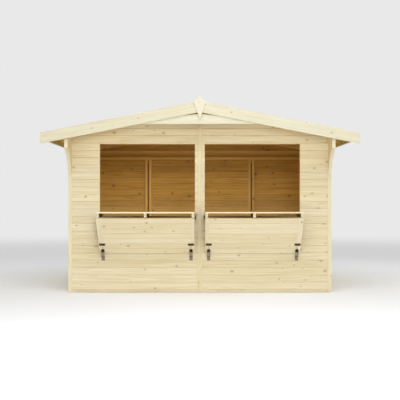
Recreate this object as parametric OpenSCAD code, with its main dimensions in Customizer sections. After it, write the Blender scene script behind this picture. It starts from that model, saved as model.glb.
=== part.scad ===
// Wooden garden bar: a timber framed cabin with two serving hatches in its front wall.
// +Z is up, X runs along the front and the front looks along -Y.
// The origin is the middle of the walls' footprint, on the ground.
// Each hatch has a bar top that hinges on the sill, and a flap that leans out under it.
// To close a hatch the flap folds up against the wall while the bar top lifts into the opening.

/* [Building] */
// Width over the side walls
building_w = 3600; // [3300:10:4000]
// Depth over the front and back walls
building_d = 3600; // [2400:10:4200]
// Height of the bargeboards' top edge at the apex above the hatches' head
gable_h = 544; // [530:1:640]
// Slope of the roof in degrees
roof_pitch = 11.15; // [10.5:0.05:11.5]
// How far the roof runs out past the side walls
side_overhang = 314; // [220:2:400]
// How far the roof runs out past the front wall
front_overhang = 438; // [400:2:470]
// How far the roof runs out past the back wall
back_overhang = 60; // [50:5:120]

/* [Walls] */
// Thickness of the cladding boards
board_t = 12; // [10:1:16]
// Cover width of one cladding board
board_pitch = 100.4; // [96:0.2:104]
// Height of the lowest joint between boards
first_joint_z = 40; // [30:1:50]
// Gap between the cladding and the ground
cladding_gap = 4; // [2:1:20]
// Width of the studs and rails
stud_w = 45; // [38:1:50]
// Depth of the studs and rails, through the wall
stud_d = 44; // [38:1:50]
// Width of one wall panel
panel_w = 900; // [800:10:1000]
// Gap between the end studs of two neighbouring panels
panel_gap = 24; // [16:2:32]
// How far the back wall's panels stop below the hatches' head
panel_drop = 25; // [0:1:80]
// Gap between the panels and the tie board above them
tie_gap = 12; // [8:1:20]
// Height of the tie board
tie_h = 99; // [80:1:110]
// Width of the strip that covers the joint in the middle of the front
cover_w = 57; // [48:1:70]
// Width of the corner strips
corner_w = 48; // [40:1:60]
// Thickness of the cover and corner strips
strip_t = 8; // [6:1:12]

/* [Serving hatches] */
// Width of the pier between the hatches
pier_w = 134; // [130:2:160]
// Width of one hatch
hatch_w = 1303; // [1200:1:1310]
// Number of whole boards below the sill
sill_boards = 10; // [9:1:11]
// Height of the hatch opening
hatch_h = 985; // [900:5:990]

/* [Floor] */
// Height of the floor bearers
bearer_h = 58; // [45:1:75]
// Width of the floor bearers
bearer_w = 44; // [38:1:60]
// Number of floor bearers
bearer_count = 7; // [5:2:9]
// Thickness of the floor boards
floor_t = 16; // [12:1:22]

/* [Roof] */
// Width of the bargeboards across their face
barge_h = 145; // [130:1:160]
// Thickness of the bargeboards
barge_t = 18; // [15:1:22]
// How far the bargeboards stand up above the felt
barge_lip = 4; // [2:1:8]
// Thickness of the felt
felt_t = 3; // [2:0.5:5]
// Thickness of the roof boards
deck_t = 12; // [10:1:18]
// Depth of the rafters, square to the slope
rafter_d = 31; // [27:1:40]
// Width of the rafters
rafter_w = 44; // [38:1:50]
// Largest distance from one rafter to the next
rafter_pitch = 620; // [400:10:800]
// Depth of the ridge beam and purlins
purlin_h = 94; // [70:2:120]
// Width of the ridge beam and purlins
purlin_w = 44; // [38:1:50]
// Distance of the purlins from the ridge
purlin_x = 900; // [700:10:1100]
// Width of the eaves fascias across their face
fascia_h = 78; // [60:1:95]
// Thickness of the eaves fascias
fascia_t = 18; // [12:1:22]
// How far the gable plate's bottom edge lies below the apex
plate_drop = 303; // [280:1:330]
// Thickness of the gable plate
plate_t = 12; // [9:1:18]
// Thickness of the canopy beams
beam_t = 45; // [38:1:55]
// Height of the canopy beams' underside above the hatches' head
beam_rise = 38; // [20:1:50]

/* [Corbels and finials] */
// Height of the corbels
corbel_h = 462; // [400:2:520]
// Depth of the corbels' blunt end under the canopy beams
corbel_nose = 112; // [80:2:140]
// How far the corbels' curve is hollowed below a straight line
corbel_hollow = 60; // [30:1:70]
// Gap between the corbels' blunt end and the gable plate's plane
corbel_gap = 20; // [0:1:30]
// Width of a finial
finial_w = 156; // [120:2:180]
// Height of a finial's shoulders below the apex
finial_shoulder = 15; // [5:1:30]
// Rise of a finial's tip above its shoulders
finial_rise = 97; // [70:1:120]
// Depth of a finial's point below its shoulders
finial_fall = 234; // [200:2:280]
// How far a finial's upper edges are hollowed
finial_hollow = 9; // [4:1:14]

/* [Flaps] */
// Lean of an open flap from upright, in degrees
flap_lean = 46; // [40:1:50]
// Depth of the flap's hinge axis below the sill
hinge_drop = 478; // [444:1:504]
// Distance of the flap's hinge axis from the wall
hinge_out = 60; // [58:0.5:66]
// Distance from the hinge axis back to the flap's face
hinge_face = 8.5; // [8:0.5:10]
// Length of the flap below its hinge axis
flap_below = 55; // [45:1:56]
// Space between a folded flap and the wall
fold_gap = 5; // [5:0.5:8]
// Width of a flap's stiles
stile_w = 44; // [36:1:60]
// Width of the face of the stile at a flap's outer end
outer_stile_w = 64; // [50:2:70]

/* [Bar tops] */
// Height of the bar top's upper face above the sill
bar_rise = 56; // [54:1:66]
// Thickness of the bar top's boards
bar_t = 12; // [12:1:20]
// Reach of the bar top in front of the wall
bar_out = 525; // [490:5:540]
// Width of the bearers under the bar top
bar_bearer_w = 36; // [34:1:50]
// Height of the bearers under the bar top
bar_bearer_h = 56; // [52:1:60]
// Space that moving pieces keep from fixed ones
run_gap = 5; // [5:0.5:8]

/* [Ironwork] */
// Thickness of the flap hinges' plates
strap_t = 3; // [2:0.5:4]
// Radius of a flap hinge's knuckle
knuckle_r = 8; // [7:0.5:8]
// Radius of a flap hinge's pin
pin_r = 4; // [3:0.5:5]
// Width of a flap hinge's strap
strap_w = 45; // [40:1:50]
// Reach of the straps below the hinge axis
strap_drop = 132; // [120:2:150]
// Height over which a strap is cranked back to the wall
crank_h = 26; // [20:1:34]
// Distance of a flap hinge from the flap's end
hinge_inset = 48; // [46:1:120]
// Width of a flap hinge's neck
neck_w = 26; // [18:1:30]
// Width of a flap hinge's collar, just above its barrel
collar_w = 41; // [30:1:44]
// Height of the collar's top above the axis
collar_h = 36; // [24:1:60]
// Width of a flap hinge's cross plate
cross_w = 82; // [70:1:92]
// Height of a flap hinge's cross plate
cross_h = 46; // [30:1:60]
// Length of a flap hinge's leaf above the axis
leaf_len = 148; // [130:2:200]
// Radius of a sill hinge's knuckle
sill_knuckle_r = 6; // [5:0.5:6.5]
// Radius of a sill hinge's pin
sill_pin_r = 2.5; // [2:0.5:3]
// Thickness of a sill hinge's leaves
sill_leaf_t = 2; // [1.5:0.5:2.5]
// Width of a turn button
button_w = 16; // [14:1:22]
// Length of a turn button
button_h = 48; // [40:1:60]
// How far the turn buttons' tops stand above the sill
button_up = 5; // [0:1:8]
// Thickness of a turn button
button_t = 4; // [3:1:6]
// Radius of the post that carries a turn button
button_post_r = 7; // [5:0.5:8]

/* [Side door] */
// Width of the door
door_w = 760; // [700:10:800]
// Height of the door opening above the floor
door_h = 1830; // [1700:10:1900]
// Gap round the door
door_gap = 4; // [3:1:6]
// Height of the door's ledges
ledge_h = 95; // [80:1:120]
// Thickness of the door's ledges
ledge_t = 20; // [16:1:24]
// Distance of the top and bottom ledges from the door's ends
ledge_inset = 130; // [100:5:180]
// Length of the door hinges' long leaves
door_strap_l = 380; // [300:5:420]
// Width of the door hinges' long leaves
door_strap_w = 35; // [28:1:45]
// Length of the door bolt
door_bolt_l = 150; // [120:5:200]

/* [Hidden] */
$fn = 48;

half_w = building_w / 2;
half_d = building_d / 2;
in_x = half_w - board_t;             // inner face of the side cladding
in_y = half_d - board_t;             // inner face of the front and back cladding
stud_in_x = in_x - stud_d;           // inner face of the side walls' studs
stud_in_y = in_y - stud_d;           // inner face of the front and back walls' studs
floor_z = bearer_h + floor_t;

hatch_in = pier_w / 2;
hatch_out = hatch_in + hatch_w;
sill_z = first_joint_z + sill_boards * board_pitch;
head_z = sill_z + hatch_h;
panel_top_z = head_z - panel_drop;
beam_z = head_z + beam_rise;
apex_z = head_z + gable_h;
bar_z = sill_z + bar_rise;
hinge_z = sill_z - hinge_drop;
strap_end_z = hinge_z - strap_drop;

// Depths below the bargeboards' top edge, square to the slope
felt_top = barge_lip;
deck_top = felt_top + felt_t;
rafter_top = deck_top + deck_t;
rafter_bottom = rafter_top + rafter_d;

tan_p = tan(roof_pitch);
cos_p = cos(roof_pitch);
eave_x = half_w + side_overhang;
front_y = -half_d - front_overhang;  // back face of the front bargeboards
back_y = half_d + back_overhang;     // front face of the back bargeboards
plate_y = front_y + plate_t;         // back face of the gable plate

far = 10000;                         // reach of a cutting block, beyond the whole building
over = 1;                            // how far a cut runs past a face
joint = 0.5;                         // half the joint where two pieces meet at the ridge
fit_gap = 0.2;                       // play left where a roof timber is pushed up against another

pine = [0.89, 0.84, 0.68];
planed = [0.93, 0.90, 0.78];
framing = [0.78, 0.66, 0.44];
felt_grey = [0.25, 0.30, 0.27];
black_iron = [0.13, 0.12, 0.11];
zinc = [0.55, 0.52, 0.46];

/* ---- helpers ---- */
// A box from its lowest to its highest corner
module box(lo, hi) { translate(lo) cube(hi - lo); }

// The piece and its mirror image on the other side of the building
module both_sides() {
    children();
    mirror([1, 0, 0]) children();
}

// An outline in X and Z, run along Y from y0 to y1
module along_y(y0, y1) {
    translate([0, y1, 0]) rotate([90, 0, 0]) linear_extrude(y1 - y0) children();
}

// An outline in distance from the front wall and Z, run along X from x0 to x1
module off_wall(x0, x1) {
    translate([x0, -half_d, 0]) rotate([90, 0, 90]) linear_extrude(x1 - x0) mirror([1, 0]) children();
}

// The right slope's own frame: X down the slope from the apex, Z square to it
module on_slope() { translate([0, 0, apex_z]) rotate([0, roof_pitch, 0]) children(); }

// Distance down the slope of a point at x across the building and drop below the top edge
function down(x, drop) = x / cos_p + drop * tan_p;

// A board on the right slope with plumb ends, from x0 to x1 across the building
module slope_board(x0, x1, y0, y1, top, bottom) {
    on_slope() along_y(y0, y1) polygon([[down(x0, top), -top], [down(x1, top), -top],
        [down(x1, bottom), -bottom], [down(x0, bottom), -bottom]]);
}

// What is left of a piece below a plane of both slopes
module below_roof(drop) {
    difference() {
        children();
        both_sides() on_slope() box([-far, -far, -drop], [far, far, far]);
    }
}

// Height of such a plane at x across the building
function roof_z(x, drop) = apex_z - abs(x) * tan_p - drop / cos_p;

ridge_bottom = roof_z(purlin_w / 2, rafter_bottom) - purlin_h;

/* ---- floor ---- */
module floor_bearers() {
    pitch = (2 * in_x - bearer_w) / (bearer_count - 1);
    color(framing) for (i = [0 : bearer_count - 1]) {
        x = -in_x + i * pitch;
        box([x, -in_y, 0], [x + bearer_w, in_y, bearer_h]);
    }
}

module floor_deck() {
    color(framing) box([-in_x, -in_y, bearer_h], [in_x, in_y, floor_z]);
}

/* ---- front wall ---- */
module ridge_slot() {
    box([-purlin_w / 2, -far, ridge_bottom], [purlin_w / 2, far, apex_z]);
}

module front_cladding() {
    color(pine) difference() {
        below_roof(rafter_bottom) box([0, -half_d, cladding_gap], [half_w, -in_y, apex_z]);
        box([hatch_in, -half_d - over, sill_z], [hatch_out, -in_y + over, head_z]);
        ridge_slot();
    }
}

module front_post(x0) {
    below_roof(rafter_bottom + stud_w)
        box([x0, -in_y, floor_z + stud_w], [x0 + stud_w, -stud_in_y, apex_z]);
}

module front_posts() {
    color(framing) both_sides() {
        front_post(hatch_in - stud_w);
        front_post(hatch_out);
        front_post(in_x - stud_w);
    }
}

module front_rail(x0, x1, z0) {
    box([x0, -in_y, z0], [x1, -stud_in_y, z0 + stud_w]);
}

module front_rails() {
    color(framing) both_sides() {
        front_rail(joint, in_x, floor_z);
        front_rail(hatch_in, hatch_out, strap_end_z);
        front_rail(hatch_in, hatch_out, sill_z - stud_w);
        front_rail(hatch_in, hatch_out, head_z);
        front_rail(hatch_out + stud_w, in_x - stud_w, sill_z - stud_w);
        front_rail(hatch_out + stud_w, in_x - stud_w, head_z);
    }
}

module cover_strips() {
    color(pine) {
        box([-cover_w / 2, -half_d - strip_t, cladding_gap], [cover_w / 2, -half_d, ridge_bottom]);
        both_sides() {
            box([half_w - corner_w, -half_d - strip_t, cladding_gap],
                [half_w, -half_d, beam_z - corbel_h]);
            below_roof(rafter_bottom)
                box([half_w - corner_w, half_d, cladding_gap], [half_w, half_d + strip_t, apex_z]);
        }
    }
}

/* ---- side walls ---- */
// Near edges of the studs at the joints of a wall of four panels that is centred on 0
stud_edges = [for (i = [-1 : 1]) each [i * panel_w - panel_gap / 2 - stud_w, i * panel_w + panel_gap / 2]];

module side_cladding() {
    color(pine) below_roof(rafter_bottom) box([in_x, -in_y, cladding_gap], [half_w, in_y, apex_z]);
}

module side_studs(edges) {
    color(framing) for (y = concat(edges, [-stud_in_y, stud_in_y - stud_w]))
        below_roof(rafter_bottom + stud_w)
            box([stud_in_x, y, floor_z + stud_w], [in_x, y + stud_w, apex_z]);
}

module side_rails() {
    color(framing) {
        box([stud_in_x, -stud_in_y, floor_z], [in_x, stud_in_y, floor_z + stud_w]);
        slope_board(stud_in_x, in_x, -stud_in_y, stud_in_y, rafter_bottom, rafter_bottom + stud_w);
    }
}

module left_cladding() { mirror([1, 0, 0]) side_cladding(); }

module left_studs() { mirror([1, 0, 0]) side_studs(stud_edges); }

module left_rails() { mirror([1, 0, 0]) side_rails(); }

module right_cladding() {
    color(pine) difference() {
        side_cladding();
        box([in_x - over, door_y0, floor_z], [half_w + over, door_y1, door_top]);
    }
}

// Beside the door its own posts take the place of the panel's end studs
module right_studs() {
    panel_edges = [for (y = stud_edges) if (y + stud_w < 0 || y > door_y1 + stud_w) y];
    side_studs(concat(panel_edges, [door_y0 - stud_w, door_y1]));
}

module right_rails() {
    difference() {
        side_rails();
        color(framing) box([stud_in_x - over, door_y0, floor_z - over],
            [in_x + over, door_y1, floor_z + stud_w + over]);
    }
    color(framing) box([stud_in_x, door_y0, door_top], [in_x, door_y1, door_top + stud_w]);
}

/* ---- back wall ---- */
module back_cladding() {
    color(pine) difference() {
        below_roof(rafter_bottom) box([-half_w, in_y, cladding_gap], [half_w, half_d, apex_z]);
        ridge_slot();
    }
}

module back_studs() {
    color(framing) for (x = concat(stud_edges, [-in_x, in_x - stud_w]))
        box([x, stud_in_y, floor_z + stud_w], [x + stud_w, in_y, panel_top_z - stud_w]);
}

module back_rails() {
    color(framing) for (z = [floor_z, panel_top_z - stud_w])
        box([-in_x, stud_in_y, z], [in_x, in_y, z + stud_w]);
}

module back_tie_board() {
    z0 = panel_top_z + tie_gap;
    color(framing) box([-in_x, stud_in_y, z0], [in_x, in_y, z0 + tie_h]);
}

module gable_rails() {
    color(framing) both_sides() for (y = [-in_y, stud_in_y])
        slope_board(purlin_w / 2, in_x, y, y + stud_d, rafter_bottom, rafter_bottom + stud_w);
}

/* ---- roof ---- */
rafter_x = eave_x - fascia_t - fit_gap;   // the rafters and roof boards end against the fascias

module roof_deck() {
    color(framing) slope_board(0, rafter_x, front_y, back_y, deck_top, rafter_top);
}

module roof_felt() {
    color(felt_grey) both_sides() slope_board(0, eave_x, front_y, back_y, felt_top, deck_top);
}

// One rafter behind each pair of bargeboards, and the others evenly from wall to wall
module rafters() {
    span = building_d - rafter_w;
    count = ceil(span / rafter_pitch);
    inner = [for (i = [0 : count]) -half_d + i * span / count];
    color(framing) both_sides() for (y = concat(inner, [plate_y, back_y - rafter_w]))
        slope_board(joint, rafter_x, y, y + rafter_w, rafter_top, rafter_bottom);
}

module ridge_beam() {
    color(framing) below_roof(rafter_bottom)
        box([-purlin_w / 2, plate_y, ridge_bottom], [purlin_w / 2, back_y, apex_z]);
}

module purlins() {
    z0 = roof_z(purlin_x, rafter_bottom) - purlin_h;
    color(framing) both_sides() below_roof(rafter_bottom)
        box([purlin_x - purlin_w / 2, -stud_in_y, z0], [purlin_x + purlin_w / 2, stud_in_y, apex_z]);
}

module canopy_beams() {
    color(framing) both_sides() below_roof(rafter_bottom)
        box([half_w - beam_t, plate_y, beam_z], [half_w, -half_d, apex_z]);
}

module eaves_fascias() {
    color(planed) both_sides()
        slope_board(eave_x - fascia_t, eave_x, front_y, back_y, deck_top, deck_top + fascia_h);
}

module bargeboards(y0, y1) {
    color(planed) both_sides() slope_board(joint, eave_x, y0, y1, 0, barge_h);
}

module front_bargeboards() { bargeboards(front_y - barge_t, front_y); }

module back_bargeboards() { bargeboards(back_y, back_y + barge_t); }

module gable_plate() {
    // The plate's corners lie behind the bargeboards, where their lower edges reach its bottom edge
    reach = (plate_drop - barge_h / cos_p) / tan_p + barge_h;
    color(planed) below_roof(rafter_top)
        box([-reach, front_y + fit_gap, apex_z - plate_drop], [reach, plate_y, apex_z]);
}

// The sector beside a chord that a hollow of the given depth cuts away, from p to q, hollow on the left
module hollow(p, q, depth) {
    chord = norm(q - p);
    r = (chord * chord / 4 + depth * depth) / (2 * depth);
    turn = [-(q - p)[1], (q - p)[0]] / chord;
    translate((p + q) / 2 + turn * (r - depth)) circle(r, $fn = 240);
}

module finial_outline() {
    shoulder = apex_z - finial_shoulder;
    tip = [0, shoulder + finial_rise];
    difference() {
        polygon([[0, shoulder - finial_fall], [finial_w / 2, shoulder], tip, [-finial_w / 2, shoulder]]);
        hollow(tip, [finial_w / 2, shoulder], finial_hollow);
        mirror([1, 0]) hollow(tip, [finial_w / 2, shoulder], finial_hollow);
    }
}

module finials() {
    color(planed) for (y = [front_y - 2 * barge_t, back_y + barge_t])
        along_y(y, y + barge_t) finial_outline();
}

module corbel_outline() {
    reach = front_overhang - plate_t - corbel_gap;
    foot = [0, beam_z - corbel_h];
    nose = [reach, beam_z - corbel_nose];
    difference() {
        polygon([foot, nose, [reach, beam_z], [0, beam_z]]);
        hollow(nose, foot, corbel_hollow);
    }
}

module corbels() {
    color(planed) both_sides() off_wall(half_w - beam_t, half_w) corbel_outline();
}

/* ---- flaps ---- */
flap_in = hatch_in + run_gap;
flap_out = hatch_out;
flap_t = hinge_out - fold_gap - hinge_face;
under_bar_z = bar_z - bar_t - bar_bearer_h;
flap_top_z = under_bar_z - run_gap;
flap_above = (flap_top_z - hinge_z - (hinge_face + board_t) * sin(flap_lean)) / cos(flap_lean);
batten_above = flap_above + flap_t;
hinge_places = [flap_in + hinge_inset, flap_out - hinge_inset];

// An open flap's own frame: Y back from the hinge axis, Z up the flap from the axis.
// The boards are cut square, just under the bar top's bearers, and what is behind them level.
module on_flap() {
    difference() {
        translate([0, -half_d - hinge_out, hinge_z]) rotate([flap_lean, 0, 0]) children();
        box([-far, -far, flap_top_z], [far, far, far]);
    }
}

module flap_boards() {
    color(pine) on_flap() box([flap_in + stile_w, hinge_face, -flap_below],
        [flap_out - outer_stile_w, hinge_face + board_t, flap_above]);
}

// The stiles at both ends are as thick as the flap; the middle one lies behind the boards.
// Behind the boards the flap stops level with the axis, to clear the wall.
module flap_stiles() {
    mid = (flap_in + flap_out - stile_w) / 2;
    color(planed) on_flap() {
        box([flap_in, hinge_face, -flap_below], [flap_in + stile_w, hinge_face + board_t, flap_above]);
        box([flap_out - outer_stile_w, hinge_face, -flap_below], [flap_out, hinge_face + board_t, flap_above]);
        for (x = [flap_in, flap_out - stile_w])
            box([x, hinge_face + board_t - over, 0], [x + stile_w, hinge_face + flap_t, batten_above]);
        box([mid, hinge_face + board_t, 0], [mid + stile_w, hinge_face + flap_t, batten_above]);
    }
}

// A leaf's barrel between the strap's two, and its collar, neck and cross plate
module flap_hinge_leaves() {
    y0 = hinge_face - strap_t;
    collar_from = knuckle_r + over;
    color(black_iron) on_flap() for (x = hinge_places) difference() {
        union() {
            translate([x - neck_w / 2, 0, 0]) rotate([0, 90, 0]) cylinder(r = knuckle_r, h = neck_w);
            box([x - neck_w / 2, y0, 0], [x + neck_w / 2, hinge_face, leaf_len]);
            box([x - collar_w / 2, y0, collar_from], [x + collar_w / 2, hinge_face, collar_h]);
            box([x - cross_w / 2, y0, leaf_len - cross_h], [x + cross_w / 2, hinge_face, leaf_len]);
        }
        translate([x - neck_w, 0, 0]) rotate([0, 90, 0]) cylinder(r = pin_r + running_fit, h = 2 * neck_w);
    }
}

running_fit = 0.05;                  // play between a pin and the barrel that turns on it
side_play = 0.5;                     // play between neighbouring barrels
sink = 0.5;                          // how far a plate is let into its barrel
knee_z = hinge_z - flap_below - run_gap;

strap_front = hinge_out + knuckle_r - sink;
strap_top_z = hinge_z - knuckle_r - side_play;

// The strap's side view beside the flap's barrel: round the pin and down to the plate
module strap_barrel() {
    translate([hinge_out, hinge_z]) circle(knuckle_r);
    translate([strap_front - strap_t, strap_top_z - over])
        square([strap_t, hinge_z - strap_top_z + over]);
}

// The plate's side view: straight down in front of a folded flap, cranked back to the wall, and down it
module strap_plate() {
    crank_t = strap_t * norm([strap_front - strap_t, crank_h]) / (strap_front - strap_t);
    polygon([[strap_front - strap_t, knee_z], [strap_front - strap_t, strap_top_z],
        [strap_front, strap_top_z], [strap_front, knee_z - crank_t],
        [strap_t, knee_z - crank_t - crank_h], [strap_t, strap_end_z], [0, strap_end_z],
        [0, knee_z - crank_h]]);
}

module flap_hinge_straps() {
    barrel = (strap_w - neck_w) / 2 - side_play;
    color(zinc) both_sides() for (x = hinge_places) {
        off_wall(x - strap_w / 2, x - strap_w / 2 + barrel) strap_barrel();
        off_wall(x + strap_w / 2 - barrel, x + strap_w / 2) strap_barrel();
        off_wall(x - strap_w / 2, x + strap_w / 2) strap_plate();
        translate([x - strap_w / 2, -half_d - hinge_out, hinge_z]) rotate([0, 90, 0])
            cylinder(r = pin_r, h = strap_w);
    }
}

/* ---- bar tops ---- */
bar_in = hatch_in + run_gap;
bar_end = hatch_out - run_gap;
sill_axis_z = sill_z + sill_leaf_t + sill_knuckle_r - sink;
sill_axis_in = sill_axis_z - under_bar_z;   // so that the lifted bearers stand level with the wall's face
bar_bearer_edges = [bar_in, (bar_in + bar_end - bar_bearer_w) / 2, bar_end - bar_bearer_w];

module bar_top() {
    color(planed) box([bar_in, -half_d - bar_out, bar_z - bar_t], [bar_end, -stud_in_y, bar_z]);
}

// Each bearer is notched over the sill and its hinge
module bar_bearers() {
    top = bar_z - bar_t;
    notch = sill_axis_z + sill_knuckle_r - sink + sill_leaf_t;
    front = bar_out - run_gap;
    color(planed) for (x = bar_bearer_edges) off_wall(x, x + bar_bearer_w)
        polygon([[-sill_axis_in, top], [-sill_axis_in, notch], [run_gap, notch],
            [run_gap, under_bar_z], [front, under_bar_z], [front, top]]);
}

sill_leaf_reach = sill_axis_in - 3;
fixed_barrel = 8;

// Side view of a sill hinge's leaf, below the axis: its barrel, the curl to it and the plate
module sill_leaf() {
    low = sill_knuckle_r - sink + sill_leaf_t;
    translate([-sill_axis_in, sill_axis_z]) {
        circle(sill_knuckle_r);
        translate([sink - sill_knuckle_r, -low]) square([sill_leaf_t + sink, low]);
        translate([sink - sill_knuckle_r, -low])
            square([sill_leaf_reach + sill_knuckle_r - sink, sill_leaf_t]);
    }
}

module sill_hinge_leaves() {
    color(zinc) both_sides() for (x = bar_bearer_edges) {
        off_wall(x, x + fixed_barrel) sill_leaf();
        off_wall(x + bar_bearer_w - fixed_barrel, x + bar_bearer_w) sill_leaf();
        translate([x, -half_d + sill_axis_in, sill_axis_z]) rotate([0, 90, 0])
            cylinder(r = sill_pin_r, h = bar_bearer_w);
        box([x, -half_d + sill_axis_in - sill_leaf_reach, sill_z],
            [x + bar_bearer_w, -half_d + sill_axis_in - sill_knuckle_r - 2 * sink, sill_z + sill_leaf_t]);
    }
}

module bar_hinge_leaves() {
    play = fixed_barrel + side_play;
    color(zinc) difference() {
        for (x = bar_bearer_edges) off_wall(x + play, x + bar_bearer_w - play)
            translate([0, 2 * sill_axis_z]) mirror([0, 1]) sill_leaf();
        translate([0, -half_d + sill_axis_in, sill_axis_z]) rotate([0, 90, 0])
            cylinder(r = sill_pin_r + running_fit, h = half_w);
    }
}

/* ---- turn buttons ---- */
// They stand upright beside each flap's ends, and turn over the flap when it is folded
module turn_buttons() {
    out = hinge_out - hinge_face + run_gap / 2;
    z = sill_z + button_up - button_h / 2;
    beside = run_gap + button_w / 2;
    color(black_iron) both_sides() for (x = [flap_in - beside, flap_out + beside]) {
        translate([x, -half_d, z]) rotate([90, 0, 0]) cylinder(r = button_post_r, h = out);
        box([x - button_w / 2, -half_d - out - button_t, z - button_h / 2],
            [x + button_w / 2, -half_d - out, z + button_h / 2]);
    }
}

/* ---- side door ---- */
door_y0 = (panel_w - door_w) / 2;
door_y1 = (panel_w + door_w) / 2;
door_top = floor_z + door_h;
ledge_z = [floor_z + ledge_inset, floor_z + (door_h - ledge_h) / 2, door_top - ledge_inset - ledge_h];

module door_leaf() {
    color(pine) box([in_x, door_y0 + door_gap, floor_z + door_gap],
        [half_w, door_y1 - door_gap, door_top - door_gap]);
}

module door_ledges() {
    inset = stile_w;
    color(framing) for (z = ledge_z)
        box([in_x - ledge_t, door_y0 + inset, z], [in_x, door_y1 - inset, z + ledge_h]);
}

// Three T-hinges, each with a plate on the wall and a tapered strap on the door, and a bolt
module door_ironwork() {
    color(black_iron) translate([half_w, 0, 0]) rotate([90, 0, 90]) linear_extrude(strap_t) {
        for (z = ledge_z) translate([door_y0, z + ledge_h / 2]) {
            translate([-door_strap_w, -door_strap_w]) square([door_strap_w, 2 * door_strap_w]);
            polygon([[-over, -door_strap_w / 2], [door_strap_l, -door_strap_w / 4],
                [door_strap_l, door_strap_w / 4], [-over, door_strap_w / 2]]);
        }
        translate([door_y1 - door_bolt_l * 2 / 3, ledge_z[1] + ledge_h / 2 - door_strap_w / 2])
            square([door_bolt_l, door_strap_w]);
    }
}

floor_bearers();
floor_deck();
mirror([1, 0, 0]) front_cladding();  // front_cladding_left
front_cladding();  // front_cladding_right
front_posts();
front_rails();
cover_strips();
left_cladding();
left_studs();
left_rails();
right_cladding();
right_studs();
right_rails();
back_cladding();
back_studs();
back_rails();
back_tie_board();
gable_rails();
mirror([1, 0, 0]) roof_deck();  // roof_deck_left
roof_deck();  // roof_deck_right
roof_felt();
rafters();
ridge_beam();
purlins();
canopy_beams();
eaves_fascias();
front_bargeboards();
back_bargeboards();
finials();
gable_plate();
corbels();
turn_buttons();
flap_hinge_straps();
sill_hinge_leaves();
door_leaf();
door_ledges();
door_ironwork();
mirror([1, 0, 0]) flap_boards();  // flap_boards_left
mirror([1, 0, 0]) flap_stiles();  // flap_stiles_left
mirror([1, 0, 0]) flap_hinge_leaves();  // flap_hinge_leaves_left
mirror([1, 0, 0]) bar_top();  // bar_top_left
mirror([1, 0, 0]) bar_bearers();  // bar_bearers_left
mirror([1, 0, 0]) bar_hinge_leaves();  // bar_hinge_leaves_left
flap_boards();  // flap_boards_right
flap_stiles();  // flap_stiles_right
flap_hinge_leaves();  // flap_hinge_leaves_right
bar_top();  // bar_top_right
bar_bearers();  // bar_bearers_right
bar_hinge_leaves();  // bar_hinge_leaves_right
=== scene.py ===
"""A wooden garden bar: shiplap walls, planed trim, a felted roof, and bar tops over folding flaps."""

import math
import random

import bmesh
import bpy
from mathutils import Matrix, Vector


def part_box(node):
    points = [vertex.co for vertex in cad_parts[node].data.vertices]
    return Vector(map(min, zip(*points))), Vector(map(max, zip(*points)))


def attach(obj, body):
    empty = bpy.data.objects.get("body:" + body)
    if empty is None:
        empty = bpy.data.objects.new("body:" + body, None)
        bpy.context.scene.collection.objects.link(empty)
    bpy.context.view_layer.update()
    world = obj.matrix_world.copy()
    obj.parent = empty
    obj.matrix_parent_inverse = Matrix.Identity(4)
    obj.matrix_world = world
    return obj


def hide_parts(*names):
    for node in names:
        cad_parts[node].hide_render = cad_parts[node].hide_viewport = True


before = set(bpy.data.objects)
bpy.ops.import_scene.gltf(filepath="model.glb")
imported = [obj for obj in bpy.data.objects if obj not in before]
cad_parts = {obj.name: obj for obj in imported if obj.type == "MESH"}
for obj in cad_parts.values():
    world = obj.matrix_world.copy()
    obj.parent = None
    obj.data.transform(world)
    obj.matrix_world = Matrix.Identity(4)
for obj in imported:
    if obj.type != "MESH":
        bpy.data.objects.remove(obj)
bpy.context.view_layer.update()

# ---- sizes, in metres and radians ----
COVER = 0.1004                      # height that one shiplap board covers
FIRST_JOINT = 0.040                 # height of the lowest joint between boards
BOARD = 0.012                       # thickness of the shiplap boards
BOARDS_FROM = 0.004                 # height of the cladding's bottom edge
HALF = 1.800                        # half the width and depth over the walls
INNER = HALF - BOARD                # inner face of the cladding
SILL = FIRST_JOINT + 10 * COVER
HEAD = SILL + 0.985
HATCH = (0.067, 1.370)              # sides of the right hatch
APEX = 2.573                        # top edge of the bargeboards at the ridge
PITCH = math.radians(11.15)         # slope of the roof
EAVE = 2.114                        # outermost reach of the roof
ROOF_FRONT, ROOF_BACK = -2.238, 1.860
BARGE = (0.018, 0.145)              # thickness and width of a bargeboard
DECK_TOP, DECK_UNDER, RAFTER_UNDER = 0.007, 0.019, 0.050  # below the top edge of the bargeboards
FASCIA = 0.018                      # thickness of the eaves fascias
RIDGE_BEAM = (0.022, 2.4237)        # half its width, and the height of its underside
STRIP = 0.008                       # thickness of the cover and corner strips
COVER_STRIP, CORNER_STRIP = 0.057, 0.048
PANEL_JOINTS = (-0.9, 0, 0.9)       # middles of the joints between wall panels
PACKING = (0.022, 0.024)            # width and thickness of the packing in them
CORBEL_FOOT = 1.605
FLOOR_UNDER, FLOOR_TOP = 0.058, 0.074
DOOR_Y, DOOR_Z = (0.070, 0.830), (0.074, 1.904)
DOOR_GAP = 0.004
LEDGE = 0.095                       # width of the ledges behind the door
LEAN = math.radians(46)             # lean of an open flap
FLAP_AXIS = Vector((0, -1.860, 0.566))
FLAP_X = (0.072, 1.370)
FLAP_FACE = 0.0085                  # from the hinge axis back to the flap's face
FLAP_BELOW, FLAP_TOP = 0.055, 1.027
STILE, OUTER_STILE, FLAP_DEPTH = 0.044, 0.064, 0.0465
BAR_X, BAR_Y, BAR_Z = (0.072, 1.365), (-2.325, -1.744), (1.088, 1.100)
FLAP_ABOVE = (FLAP_TOP - FLAP_AXIS.z - (FLAP_FACE + BOARD) * math.sin(LEAN)) / math.cos(LEAN)
HINGES = (0.122, 1.320)             # middles of a flap's two hinges
TURN_BUTTONS = (0.059, 1.383)
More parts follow.
